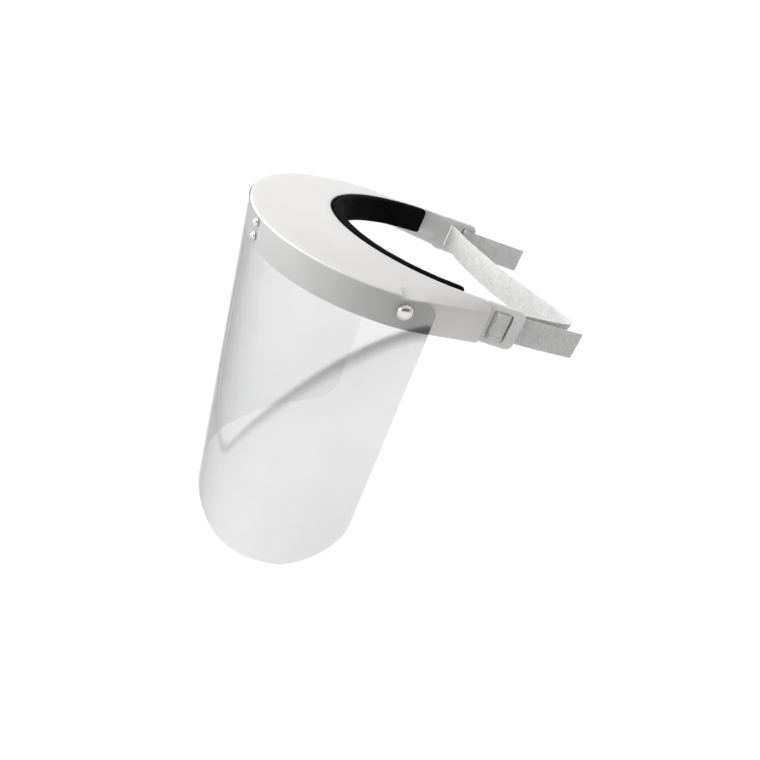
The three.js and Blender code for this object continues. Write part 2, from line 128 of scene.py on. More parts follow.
def make_camera():
    right = Vector((math.cos(AZIMUTH), math.sin(AZIMUTH), 0))
    forward = Vector((
        -math.sin(AZIMUTH) * math.cos(ELEVATION),
        math.cos(AZIMUTH) * math.cos(ELEVATION),
        -math.sin(ELEVATION),
    ))
    up = right.cross(forward)
    image_right = math.cos(ROLL) * right + math.sin(ROLL) * up
    image_up = -math.sin(ROLL) * right + math.cos(ROLL) * up
    data = bpy.data.cameras.new("camera")
    data.lens = LENS
    data.sensor_width = SENSOR_WIDTH
    data.clip_start, data.clip_end = 0.01, 100
    camera = bpy.data.objects.new("camera", data)
    turn = Matrix((image_right, image_up, -forward)).transposed().to_4x4()
    camera.matrix_world = Matrix.Translation(AIM - forward * DISTANCE) @ turn
    bpy.context.scene.collection.objects.link(camera)
    bpy.context.scene.camera = camera


make_camera()


# ---- mesh helpers ---------------------------------------------------------------------------
def new_piece(name, mesh, material, body, replaced=()):
    piece = bpy.data.objects.new(name, mesh)
    bpy.context.scene.collection.objects.link(piece)
    mesh.materials.clear()
    mesh.materials.append(material)
    if body:
        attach(piece, body)
    if replaced:
        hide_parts(*replaced)
    return piece


def smooth(mesh, sharp=35):
    mesh.shade_smooth()
    mesh.set_sharp_from_angle(angle=math.radians(sharp))


def loft(name, rings, uvs=None):
    """Closed skin over matching rings; uvs gives one (u, v) per ring point."""
    count = len(rings[0])
    points = [p for ring in rings for p in ring]
    faces = []
    for i in range(len(rings) - 1):
        for j in range(count):
            k = (j + 1) % count
            faces.append((i * count + j, i * count + k, (i + 1) * count + k, (i + 1) * count + j))
    faces.append(tuple(range(count))[::-1])
    last = (len(rings) - 1) * count
    faces.append(tuple(range(last, last + count)))
    mesh = bpy.data.meshes.new(name)
    mesh.from_pydata([tuple(p) for p in points], [], faces)
    if uvs:
        layer = mesh.uv_layers.new(name="cloth")
        for polygon in mesh.polygons:
            for corner in polygon.loop_indices:
                layer.data[corner].uv = uvs[mesh.loops[corner].vertex_index]
    bm = bmesh.new()
    bm.from_mesh(mesh)
    bmesh.ops.recalc_face_normals(bm, faces=bm.faces)
    bm.to_mesh(mesh)
    bm.free()
    return mesh


def rounded(points, radii, steps=4):
    """The outline's corners cut back by their radii and joined with soft arcs."""
    out = []
    n = len(points)
    for i, point in enumerate(points):
        before = points[i - 1] - point
        after = points[(i + 1) % n] - point
        r = min(radii[i], before.length * 0.45, after.length * 0.45)
        a = point + before.normalized() * r
        b = point + after.normalized() * r
        for k in range(steps + 1):
            t = k / steps
            out.append(a * (1 - t) ** 2 + point * 2 * t * (1 - t) + b * t * t)
    return out


def run_boolean(piece, tool, operation="DIFFERENCE"):
    modifier = piece.modifiers.new("cut", "BOOLEAN")
    modifier.operation = operation
    modifier.solver = "EXACT"
    modifier.object = tool
    apply_modifiers(piece)
    bpy.data.objects.remove(tool)


def apply_modifiers(piece):
    graph = bpy.context.evaluated_depsgraph_get()
    graph.update()
    mesh = bpy.data.meshes.new_from_object(piece.evaluated_get(graph))
    old = piece.data
    piece.modifiers.clear()
    piece.data = mesh
    bpy.data.meshes.remove(old)


def lathe(profile, axis_from, axis_dir, segments=48):
    """Solid of revolution: profile is (radius, height along the axis)."""
    turn = axis_dir.to_track_quat("Z", "Y")
    rings = []
    for radius, height in profile:
        rings.append([
            axis_from + turn @ Vector((
                radius * math.cos(2 * math.pi * k / segments),
                radius * math.sin(2 * math.pi * k / segments),
                height,
            ))
            for k in range(segments)
        ])
    return loft("lathe", rings)


# ---- plan curves --------------------------------------------------------------------------
def bezier(points, t):
    a, b, c, d = points
    s = 1 - t
    return a * s ** 3 + b * 3 * s * s * t + c * 3 * s * t * t + d * t ** 3


def bezier_direction(points, t):
    a, b, c, d = points
    s = 1 - t
    return ((b - a) * s * s + (c - b) * 2 * s * t + (d - c) * t * t).normalized()


FOLD_FRONT = [
    Vector((0, -PEAK_FRONT)),
    Vector((58 * MM, -PEAK_FRONT)),
    Vector((PEAK_HALF_WIDTH - 3 * MM, -PEAK_WIDEST_Y)),
    Vector((PEAK_HALF_WIDTH, PEAK_WIDEST_Y)),
]
FOLD_ARM = [
    Vector((PEAK_HALF_WIDTH, PEAK_WIDEST_Y)),
    Vector((PEAK_HALF_WIDTH + 1 * MM, PEAK_WIDEST_Y + 20 * MM)),
    Vector((97.5 * MM, 62 * MM)),
    Vector((ARM_END_X, ARM_END_Y)),
]


def clamp(x, low=0.0, high=1.0):
    return max(low, min(high, x))


def fold_height(y):
    return FOLD_SIDE_Z * clamp((y + PEAK_FRONT) / (PEAK_WIDEST_Y + PEAK_FRONT))


def lean_at(y):
    return RIM_LEAN * clamp((PEAK_WIDEST_Y - y) / (PEAK_WIDEST_Y + PEAK_FRONT))


def ellipse_point(half_width, depth, angle):
    return Vector((half_width * math.sin(angle), TEMPLE_Y - depth * math.cos(angle)))


def mirrored(p):
    return Vector((-p.x, p.y))


# ---- materials ------------------------------------------------------------------------------
class Nodes:
    """Short-hand for building one material's node tree."""

    def __init__(self, name):
        self.material = bpy.data.materials.new(name)
        self.material.use_nodes = True
        self.tree = self.material.node_tree
        self.shader = self.tree.nodes["Principled BSDF"]

    def add(self, kind, **settings):
        node = self.tree.nodes.new(kind)
        for key, value in settings.items():
            if key in node.inputs:
                node.inputs[key].default_value = value
            else:
                setattr(node, key, value)
        return node

    def link(self, source, output, target, socket):
        self.tree.links.new(source.outputs[output], target.inputs[socket])

    def set(self, **values):
        for key, value in values.items():
            self.shader.inputs[key.replace("_", " ")].default_value = value

    def coordinates(self, output="Object", scale=(1, 1, 1)):
        place = self.add("ShaderNodeTexCoord")
        mapping = self.add("ShaderNodeMapping", Scale=scale)
        self.link(place, output, mapping, "Vector")
        return mapping

    def noise(self, where, scale, detail=3, roughness=0.55):
        node = self.add("ShaderNodeTexNoise", Scale=scale, Detail=detail, Roughness=roughness)
        self.link(where, "Vector", node, "Vector")
        return node

    def ramp(self, source, output, stops):
        node = self.add("ShaderNodeValToRGB")
        elements = node.color_ramp.elements
        while len(elements) < len(stops):
            elements.new(0.5)
        for element, (position, color) in zip(elements, stops):
            element.position = position
            element.color = (*color, 1)
        self.link(source, output, node, "Fac")
        return node

    def range(self, source, output, low, high, start=0.0, end=1.0):
        node = self.add("ShaderNodeMapRange")
        for socket, value in zip(("From Min", "From Max", "To Min", "To Max"), (start, end, low, high)):
            node.inputs[socket].default_value = value
        self.link(source, output, node, "Value")
        return node

    def math(self, operation, a, b=None, value=0.5):
        node = self.add("ShaderNodeMath", operation=operation)
        self.tree.links.new(a, node.inputs[0])
        if b is None:
            node.inputs[1].default_value = value
        else:
            self.tree.links.new(b, node.inputs[1])
        return node

    def bump(self, height, distance, strength=1.0, after=None):
        node = self.add("ShaderNodeBump", Strength=strength, Distance=distance)
        self.tree.links.new(height, node.inputs["Height"])
        if after:
            self.link(after, "Normal", node, "Normal")
        return node


def plastic_material():
    m = Nodes("white_moulded_plastic")
    where = m.coordinates()
    broad = m.noise(where, 28, 2)
    color = m.ramp(broad, "Fac", [(0.3, (0.59, 0.583, 0.579)), (0.7, (0.62, 0.613, 0.609))])
    m.link(color, "Color", m.shader, "Base Color")
    grain = m.noise(where, 900, 3)
    fine = m.noise(where, 3200, 2)
    rough = m.range(grain, "Fac", 0.34, 0.5, 0.3, 0.7)
    m.link(rough, "Result", m.shader, "Roughness")
    skin = m.bump(grain.outputs["Fac"], 0.00006, 0.35)
    skin = m.bump(fine.outputs["Fac"], 0.00003, 0.3, skin)
    m.link(skin, "Normal", m.shader, "Normal")
    # the walls are thin enough to glow a little when lit from behind
    m.set(IOR=1.5, Subsurface_Weight=0.6, Subsurface_Scale=0.004)
    m.shader.inputs["Subsurface Radius"].default_value = (1.0, 0.98, 0.96)
    return m.material


def foam_material():
    m = Nodes("black_foam")
    where = m.coordinates()
    cells = m.add("ShaderNodeTexVoronoi", Scale=1500)
    m.link(where, "Vector", cells, "Vector")
    nap = m.noise(where, 2600, 4, 0.7)
    broad = m.noise(where, 60, 3)
    color = m.ramp(broad, "Fac", [(0.35, (0.0015, 0.0015, 0.0015)), (0.75, (0.005, 0.0048, 0.0046))])
    m.link(color, "Color", m.shader, "Base Color")
    height = m.bump(cells.outputs["Distance"], 0.00015, 0.5)
    height = m.bump(nap.outputs["Fac"], 0.0001, 0.6, height)
    m.link(height, "Normal", m.shader, "Normal")
    m.set(Roughness=0.95, IOR=1.3, Specular_IOR_Level=0.15)
    return m.material


def tape_material():
    m = Nodes("black_tape")
    where = m.coordinates()
    loops = m.noise(where, 1800, 4, 0.75)
    color = m.ramp(loops, "Fac", [(0.3, (0.003, 0.003, 0.003)), (0.8, (0.015, 0.015, 0.015))])
    m.link(color, "Color", m.shader, "Base Color")
    m.link(m.bump(loops.outputs["Fac"], 0.0002, 0.7), "Normal", m.shader, "Normal")
    m.set(Roughness=0.9, Specular_IOR_Level=0.2)
    return m.material


def webbing_material():
    """Woven elastic: fine lengthwise cords crossed by picks, u and v in metres."""
    m = Nodes("woven_elastic")
    place = m.add("ShaderNodeUVMap", uv_map="cloth")
    split = m.add("ShaderNodeSeparateXYZ")
    m.link(place, "UV", split, "Vector")
    tau = 2 * math.pi
    along = m.math("MULTIPLY", split.outputs["X"], value=tau / 0.0011)
    across = m.math("MULTIPLY", split.outputs["Y"], value=tau / 0.0012)
    half_across = m.math("MULTIPLY", split.outputs["Y"], value=math.pi / 0.0012)
    # picks step by half a pitch from one cord to the next
    shift = m.math("SINE", half_across.outputs[0])
    shift = m.math("SIGN", shift.outputs[0])
    shift = m.math("MULTIPLY", shift.outputs[0], value=math.pi / 2)
    along = m.math("ADD", along.outputs[0], shift.outputs[0])
    picks = m.math("SINE", along.outputs[0])
    cords = m.math("COSINE", across.outputs[0])
    cords = m.math("MULTIPLY", cords.outputs[0], value=-0.6)
    weave = m.math("ADD", picks.outputs[0], cords.outputs[0])
    level = m.range(weave, "Value", 0, 1, -1.6, 1.6)
    where = m.coordinates()
    fibre = m.noise(where, 4200, 3, 0.7)
    blotch = m.noise(where, 420, 3, 0.6)
    mixed = m.math("MULTIPLY", level.outputs["Result"], fibre.outputs["Fac"])
    mixed = m.math("ADD", mixed.outputs[0], blotch.outputs["Fac"])
    color = m.ramp(mixed, "Value", [(0.35, (0.40, 0.40, 0.396)), (0.95, (0.62, 0.62, 0.615))])
    m.link(color, "Color", m.shader, "Base Color")
    height = m.bump(level.outputs["Result"], 0.00025, 0.55)
    height = m.bump(fibre.outputs["Fac"], 0.00008, 0.5, height)
    m.link(height, "Normal", m.shader, "Normal")
    m.set(Roughness=0.85, IOR=1.4, Subsurface_Weight=0.35, Subsurface_Scale=0.002)
    m.shader.inputs["Subsurface Radius"].default_value = (1.0, 1.0, 1.0)
    return m.material


def nickel_material():
    m = Nodes("nickel_plate")
    where = m.coordinates()
    scuffs = m.noise(where, 900, 4, 0.6)
    color = m.ramp(scuffs, "Fac", [(0.3, (0.62, 0.61, 0.59)), (0.7, (0.78, 0.775, 0.76))])
    m.link(color, "Color", m.shader, "Base Color")
    m.link(m.range(scuffs, "Fac", 0.14, 0.34, 0.3, 0.7), "Result", m.shader, "Roughness")
    m.link(m.bump(scuffs.outputs["Fac"], 0.00004, 0.3), "Normal", m.shader, "Normal")
    m.set(Metallic=1.0)
    return m.material


def sheet_material():
    """Thin clear plastic: mostly see-through, denser where it turns edge-on; along its crease a painted
    shade darkens it and makes it denser.
    """
    m = Nodes("clear_sheet")
    where = m.coordinates()
    # painted shade along the crease, read from the sheet mesh's point attribute
    painted_crease_shade = m.add("ShaderNodeAttribute", attribute_name="painted_crease_shade")
    facing = m.add("ShaderNodeLayerWeight", Blend=0.5)
    edge = m.math("POWER", facing.outputs["Facing"], value=4.0)
    # the colour darkens where the sheet turns edge-on and where the painted crease shade lies
    darkening_with_painted_shade = m.math("MAXIMUM", edge.outputs[0], painted_crease_shade.outputs["Fac"])
    color = m.ramp(darkening_with_painted_shade, "Value", [(0.0, (0.27, 0.273, 0.276)), (0.8, (0.04, 0.04, 0.04))])
    m.link(color, "Color", m.shader, "Base Color")
    # the film is a little denser towards the bottom, and thinner on the wearer's right, which
    # is a choice for the looks: on the object both halves are alike
    split = m.add("ShaderNodeSeparateXYZ")
    m.link(where, "Vector", split, "Vector")
    film = m.range(split, "Z", 0.14, 0.215, 0.0, -0.16)
    side = m.range(split, "X", 0.35, 1.0, -0.02, 0.06)
    haze = m.noise(where, 30, 3)
    haze = m.range(haze, "Fac", -0.008, 0.008, 0.3, 0.7)
    film = m.math("ADD", film.outputs["Result"], haze.outputs["Result"])
    film = m.math("MULTIPLY", film.outputs[0], side.outputs["Result"])
    rim = m.math("POWER", facing.outputs["Facing"], value=14.0)
    edge = m.math("MULTIPLY", edge.outputs[0], value=0.75)
    edge = m.math("ADD", edge.outputs[0], rim.outputs[0])
    # the painted crease shade also makes the sheet less see-through there
    painted_crease_shade = m.math("MULTIPLY", painted_crease_shade.outputs["Fac"], value=0.36)
    dense = m.math("ADD", edge.outputs[0], painted_crease_shade.outputs[0])
    alpha = m.math("ADD", film.outputs[0], dense.outputs[0])
    alpha.use_clamp = True
    m.link(alpha, "Value", m.shader, "Alpha")
    fine = m.noise(where, 900, 2, 0.6)
    m.link(m.range(fine, "Fac", 0.05, 0.1, 0.4, 0.8), "Result", m.shader, "Roughness")
    m.set(IOR=1.49)
    m.material.surface_render_method = "BLENDED"
    return m.material


PLASTIC = plastic_material()
FOAM = foam_material()
TAPE = tape_material()
WEBBING = webbing_material()
NICKEL = nickel_material()
CLEAR = sheet_material()


# ---- crown ----------------------------------------------------------------------------------
FRONT_STEPS = 64
ARM_STEPS = 36
# notch in the fold beside each side stud: a sharp front wall, then a ramp rearwards
NOTCH_FRONT, NOTCH_BACK = 32 * MM, 47 * MM
NOTCH_WIDTH, NOTCH_DEPTH = 9 * MM, 2.6 * MM
NOTCH_WALL_RUN = 0.0008  # half the front wall's run, as a share of the arm's curve
FOLD_LIFT = 0.2 * MM  # the rounded fold stands this much proud of the line it is drawn on


def crown_half():
    """Where the band's inner face and the fold lie in plan, front to end plate."""
    half = []
    widest = math.acos((TEMPLE_Y - PEAK_WIDEST_Y) / BAND_DEPTH)
    for i in range(FRONT_STEPS + 1):
        t = i / FRONT_STEPS
        inner = ellipse_point(BAND_HALF_WIDTH, BAND_DEPTH, widest * t)
        half.append((inner, bezier(FOLD_FRONT, t)))
    stops = [i / ARM_STEPS for i in range(1, ARM_STEPS + 1)]
    wall = next(k / 2000 for k in range(2000) if bezier(FOLD_ARM, k / 2000).y > NOTCH_FRONT)
    stops.extend((wall - NOTCH_WALL_RUN, wall + NOTCH_WALL_RUN))
    for t in sorted(stops):
        outer = bezier(FOLD_ARM, t)
        reach = clamp((TEMPLE_Y - outer.y) / BAND_DEPTH)
        inner = ellipse_point(BAND_HALF_WIDTH, BAND_DEPTH, math.acos(reach))
        inner.y = max(inner.y, outer.y)
        half.append((inner, outer))
    return half


def crown_section(width, y):
    fold = fold_height(y)
    along = clamp((y - PEAK_WIDEST_Y) / (ARM_END_Y - PEAK_WIDEST_Y))
    rim_bottom = (fold - RIM_HEIGHT) * (1 - along) + ARM_BOTTOM * along
    shift = lean_at(y) * (fold - rim_bottom)
    drop = WALL * 1.1
    cut = NOTCH_DEPTH * clamp((NOTCH_BACK - y) / (NOTCH_BACK - NOTCH_FRONT)) if y > NOTCH_FRONT else 0
    slope = (BAND_TOP - fold - FOLD_LIFT) / (width - WALL)
    notch_edge = min(NOTCH_WIDTH, (width - WALL) * 0.5)
    corners = [
        ((0, BAND_BOTTOM), 0.4),
        ((0, BAND_TOP), 0.5),
        ((WALL, BAND_TOP), 2.2),
        ((width - notch_edge, fold + FOLD_LIFT + notch_edge * slope), 0.3),
        ((width, fold + FOLD_LIFT - cut), 0.9),
        ((width - shift, rim_bottom), 0.5),
        ((width - shift - WALL, rim_bottom), 0.5),
        ((width - WALL, fold - drop), 4.0),
        ((WALL, BAND_TOP - drop - 0.6 * MM), 1.2),
        ((WALL, BAND_BOTTOM), 0.5),
    ]
    return rounded([Vector(c) for c, _ in corners], [r * MM for _, r in corners])


def crown_shell():
    half = crown_half()
    other = [(mirrored(a), mirrored(b)) for a, b in half[:0:-1]]
    rings = []
    for inner, outer in other + half:
        across = outer - inner
        width = across.length
        across.normalize()
        rings.append([
            Vector((inner.x + across.x * p.x, inner.y + across.y * p.x, p.y))
            for p in crown_section(width, outer.y)
        ])
    return loft("crown", rings)


def end_plate(sign):
    """Flat plate with rounded edges and corners and two slots, drawn in Y and Z."""
    curve = bpy.data.curves.new("plate", "CURVE")
    curve.dimensions = "2D"
    curve.fill_mode = "BOTH"
    edge = 0.45 * MM
    curve.extrude = PLATE_THICK / 2 - edge
    curve.bevel_depth = edge
    curve.bevel_resolution = 3
    curve.offset = -edge

    def outline(y0, y1, z0, z1, radius):
        corners = [Vector(c) for c in ((y0, z0), (y1, z0), (y1, z1), (y0, z1))]
        points = rounded(corners, [radius] * 4, 10)
        spline = curve.splines.new("POLY")
        spline.points.add(len(points) - 1)
        for target, p in zip(spline.points, points):
            target.co = (p.x, p.y, 0, 1)
        spline.use_cyclic_u = True

    outline(PLATE_FRONT_Y - 2 * MM, PLATE_BACK_Y, ARM_BOTTOM, PLATE_TOP, PLATE_CORNER)
    slot_half = STRAP_WIDTH / 2 + GAP
    for y in (SLOT_FRONT_Y, SLOT_BACK_Y):
        outline(y - SLOT_WIDTH / 2, y + SLOT_WIDTH / 2, STRAP_Z - slot_half, STRAP_Z + slot_half, 1.2 * MM)
    holder = bpy.data.objects.new("plate", curve)
    bpy.context.scene.collection.objects.link(holder)
    graph = bpy.context.evaluated_depsgraph_get()
    mesh = bpy.data.meshes.new_from_object(holder.evaluated_get(graph))
    bpy.data.objects.remove(holder)
    middle = sign * (BAND_HALF_WIDTH + PLATE_THICK / 2 - 0.04 * MM)
    mesh.transform(Matrix(((0, 0, 1, middle), (1, 0, 0, 0), (0, 1, 0, 0), (0, 0, 0, 1))))
    bm = bmesh.new()
    bm.from_mesh(mesh)
    bmesh.ops.remove_doubles(bm, verts=bm.verts, dist=1e-6)
    bmesh.ops.recalc_face_normals(bm, faces=bm.faces)
    bm.to_mesh(mesh)
    bm.free()
    return mesh


def make_crown():
    crown = new_piece("crown_moulding", crown_shell(), PLASTIC, "visor", ["crown"])
    for sign in (1, -1):
        plate = bpy.data.objects.new("plate", end_plate(sign))
        bpy.context.scene.collection.objects.link(plate)
        run_boolean(crown, plate, "UNION")
    crown.data.materials.clear()
    crown.data.materials.append(PLASTIC)
    smooth(crown.data, 40)
    return crown


make_crown()


# ---- brow pad -------------------------------------------------------------------------------
PAD_STEPS = 120
PAD_PINCH, PAD_PINCH_REACH = 0.06, 1.2 * MM  # how much the ends draw in, and over what length
PAD_VOXEL = 1.6 * MM
PAD_SWELL, PAD_PRESSURE, SWELL_FRAMES = 0.45 * MM, 2.0, 12
PAD_LUMP, PAD_LUMP_SIZE = 0.12 * MM, 9 * MM  # soft unevenness of the foam's face


def pad_mesh():
    """Foam strip with a full, rounded brow face and softly pinched ends."""
    inset = 0.35 * MM  # room for the skin to swell
    rings = []
    for i in range(PAD_STEPS + 1):
        angle = PAD_SWEEP * (2 * i / PAD_STEPS - 1) + PAD_SHIFT
        edge = min(i, PAD_STEPS - i) / PAD_STEPS * 2 * PAD_SWEEP * PAD_HALF_WIDTH
        pinch = 1 - PAD_PINCH * (1 - clamp(edge / PAD_PINCH_REACH)) ** 2
        back = ellipse_point(PAD_HALF_WIDTH - inset, PAD_DEPTH - inset, angle)
        front = ellipse_point(PAD_HALF_WIDTH - PAD_THICK + inset, PAD_DEPTH - PAD_THICK + inset, angle)
        half = (PAD_HEIGHT / 2 - inset) * pinch
        middle = (back + front) / 2
        depth = (front - back) * 0.5 * pinch
        corners = [Vector((-1, -1)), Vector((-1, 1)), Vector((1, 1)), Vector((1, -1))]
        section = rounded(corners, [0.1, 0.1, 0.3, 0.3], 5)
        rings.append([
            Vector((middle.x + depth.x * p.x, middle.y + depth.y * p.x, half * p.y))
            for p in section
        ])
    return loft("brow_pad", rings)


def swell(piece, frames, limit, pressure):
    """Let the pad's skin swell a little under pressure, no point further than limit."""
    start = [v.co.copy() for v in piece.data.vertices]
    cloth = piece.modifiers.new("cloth", "CLOTH")
    cloth.settings.use_pressure = True
    cloth.settings.uniform_pressure_force = pressure
    cloth.settings.effector_weights.gravity = 0
    cloth.settings.quality = 4
    scene = bpy.context.scene
    for number in range(1, frames + 1):
        scene.frame_set(number)
    apply_modifiers(piece)
    scene.frame_set(1)
    for vertex, rest in zip(piece.data.vertices, start):
        move = vertex.co - rest
        if move.length > limit:
            vertex.co = rest + move.normalized() * limit


def make_pad():
    pad = new_piece("brow_pad_foam", pad_mesh(), FOAM, "visor", ["brow_pad"])
    remesh = pad.modifiers.new("even", "REMESH")
    remesh.mode = "VOXEL"
    remesh.voxel_size = PAD_VOXEL
    apply_modifiers(pad)
    swell(pad, SWELL_FRAMES, PAD_SWELL, PAD_PRESSURE)
    soften = pad.modifiers.new("soften", "SMOOTH")
    soften.factor = 0.5
    soften.iterations = 2
    finer = pad.modifiers.new("finer", "SUBSURF")
    finer.levels = finer.render_levels = 1
    apply_modifiers(pad)
    for vertex in pad.data.vertices:
        amount = noise.noise(vertex.co / PAD_LUMP_SIZE)
        vertex.co += vertex.normal * amount * PAD_LUMP
    pad.data.materials.clear()
    pad.data.materials.append(FOAM)
    pad.data.shade_smooth()


def make_tape():
    rings = []
    sweep = PAD_SWEEP - math.radians(2)
    inner, outer = GAP, GAP + TAPE_THICK
    for i in range(PAD_STEPS + 1):
        angle = sweep * (2 * i / PAD_STEPS - 1)
        a = ellipse_point(PAD_HALF_WIDTH + inner, PAD_DEPTH + inner, angle)
        b = ellipse_point(PAD_HALF_WIDTH + outer, PAD_DEPTH + outer, angle)
        corners = [Vector((0, -1)), Vector((0, 1)), Vector((1, 1)), Vector((1, -1))]
        section = rounded(corners, [0.2] * 4, 3)
        rings.append([
            Vector((a.x + (b.x - a.x) * p.x, a.y + (b.y - a.y) * p.x, p.y * TAPE_HEIGHT / 2))
            for p in section
        ])
    mesh = loft("pad_tape", rings)
    smooth(mesh)
    new_piece("pad_tape", mesh, TAPE, "visor", ["pad_strip"])


make_pad()
make_tape()


def spline_points(route, step):
    """Even points of a centripetal spline through a route in plan."""
    points = [Vector(p) for p in route]
    points = [points[0] * 2 - points[1], *points, points[-1] * 2 - points[-2]]
    dense = []
    for a, b, c, d in zip(points, points[1:], points[2:], points[3:]):
        ta = 0.0
        tb = ta + math.sqrt((b - a).length)
        tc = tb + math.sqrt((c - b).length)
        td = tc + math.sqrt((d - c).length)
        for k in range(24):
            t = tb + (tc - tb) * k / 24
            p = a * ((tb - t) / (tb - ta)) + b * ((t - ta) / (tb - ta))
            q = b * ((tc - t) / (tc - tb)) + c * ((t - tb) / (tc - tb))
            r = c * ((td - t) / (td - tc)) + d * ((t - tc) / (td - tc))
            u = p * ((tc - t) / (tc - ta)) + q * ((t - ta) / (tc - ta))
            v = q * ((td - t) / (td - tb)) + r * ((t - tb) / (td - tb))
            dense.append(u * ((tc - t) / (tc - tb)) + v * ((t - tb) / (tc - tb)))
    dense.append(points[-2])
    lengths = [0.0]
    for p, q in zip(dense, dense[1:]):
        lengths.append(lengths[-1] + (q - p).length)
    count = max(2, round(lengths[-1] / step))
    even = []
    i = 1
    for k in range(count + 1):
        s = lengths[-1] * k / count
        while i < len(lengths) - 1 and lengths[i] < s:
            i += 1
        t = (s - lengths[i - 1]) / max(lengths[i] - lengths[i - 1], 1e-12)
        even.append(dense[i - 1].lerp(dense[i], clamp(t)))
    return even, lengths[-1]


# ---- clear sheet ------------------------------------------------------------------------------
SHEET_FRONT_STEPS, SHEET_CORNER_STEPS, SHEET_ROWS = 50, 90, 110


def sheet_half(front_steps, corner_steps):
    """Stations from the front to the rear edge: plan point, direction, distance left."""
    path = []
    samples = 400
    end = next(k for k in range(samples) if bezier(FOLD_ARM, k / samples).y > SHEET_BACK_Y) / samples
    for curve, upto in ((FOLD_FRONT, 1), (FOLD_ARM, end)):
        for i in range(1 if path else 0, samples + 1):
            t = upto * i / samples
            path.append((bezier(curve, t), bezier_direction(curve, t)))
    lengths = [0.0]
    for (p, _), (q, _) in zip(path, path[1:]):
        lengths.append(lengths[-1] + (q - p).length)
    total = lengths[-1]
    stops = [(total - SHEET_CORNER_RUN) * k / front_steps for k in range(front_steps)]
    for k in range(corner_steps + 1):
        turn = math.pi / 2 * (1 - k / corner_steps)
        stops.append(total - SHEET_CORNER_RUN * (1 - math.cos(turn)))
    half = []
    i = 1
    for s in stops:
        while lengths[i] < s - 1e-9 and i < len(lengths) - 1:
            i += 1
        t = (s - lengths[i - 1]) / (lengths[i] - lengths[i - 1])
        p = path[i - 1][0].lerp(path[i][0], t)
        d = path[i - 1][1].lerp(path[i][1], t).normalized()
        half.append((p, d, total - s))
    return half


# Where the sheet is pulled between its fixings it buckles: a crease leaves the rear corner
# along the rim, falls to a point and climbs back to the front studs. Places on the sheet
# are (distance from the rear edge, height), and each arm is one curve between two ends.
# A painted shade darkens the sheet along this crease and below it; the crease also dents the sheet in.
CREASE_EAR = Vector((0, -13)) * MM
CREASE_POINT = Vector((105, -152)) * MM
CREASE_STUDS = Vector((138, -14)) * MM
CREASE_REAR = [CREASE_EAR, Vector((35, -18)) * MM, Vector((60, -80)) * MM, CREASE_POINT]
CREASE_FRONT = [CREASE_POINT, Vector((118, -170)) * MM, Vector((185, -110)) * MM, CREASE_STUDS]
CREASE_STEPS = 120
# each arm: curve, strength of the painted shade at its two ends, width of the sharp upper side, widths of
# the soft lower side at its two ends, and how far it pushes the sheet in; widths and depth in mm
CREASE_ARMS = (
    (CREASE_REAR, 1.0, 0.42, 1.5, 8.0, 4.5, 0.8),
    (CREASE_FRONT, 0.42, 0.25, 4.5, 4.5, 6.0, 0.35),
)
PAINTED_SHADE_BELOW_CREASE, PAINTED_SHADE_BELOW_REACH = 0.3, 22 * MM  # faint painted shade that spreads below the crease
CREASE_PUSH_WIDTH = 3 * MM  # the dent's width on the sharp side
RIM_CLEAR_FROM, RIM_CLEAR_OVER = 22 * MM, 14 * MM  # no dent where the sheet lies on the rim
SHEET_TOP_GAP = 0.8 * MM  # the sheet's upper edge lies this far below the fold


def crease_field(places):
    """Painted shade and inward push of the crease at (distance from the rear edge, height) places."""
    darkening_with_painted_shade = np.zeros(len(places))
    push = np.zeros(len(places))
    for curve, start, end, sharp, soft_start, soft_end, depth in CREASE_ARMS:
        line = np.array([tuple(bezier(curve, k / CREASE_STEPS)) for k in range(CREASE_STEPS + 1)])
        gap = places[:, None, :] - line[None, :, :]
        near = np.argmin((gap ** 2).sum(2), axis=1)
        share = near / (len(line) - 1)
        ahead = line[np.minimum(near + 1, len(line) - 1)]
        behind = line[np.maximum(near - 1, 0)]
        along = ahead - behind
        along /= np.linalg.norm(along, axis=1)[:, None]
        off = places - line[near]
        side = along[:, 0] * off[:, 1] - along[:, 1] * off[:, 0]
        far = np.linalg.norm(off, axis=1)
        soft = (soft_start + (soft_end - soft_start) * share) * MM
        width = np.where(side > 0, sharp * MM, soft)
        fade = np.exp(-((far / width) ** 2))
        wash = np.exp(-far / PAINTED_SHADE_BELOW_REACH) * np.where(side > 0, 0, PAINTED_SHADE_BELOW_CREASE)
        fade = np.maximum(fade, wash)
        # painted shade along the crease, from the arm's start strength to its end strength
        darkening_with_painted_shade = np.maximum(darkening_with_painted_shade, fade * (start + (end - start) * share))
        clear_of_rim = np.clip((-places[:, 1] - RIM_CLEAR_FROM) / RIM_CLEAR_OVER, 0, 1)
        wide = np.where(side > 0, CREASE_PUSH_WIDTH, soft)
        push = np.maximum(push, np.exp(-((far / wide) ** 2)) * depth * MM * clear_of_rim)
    return darkening_with_painted_shade, push


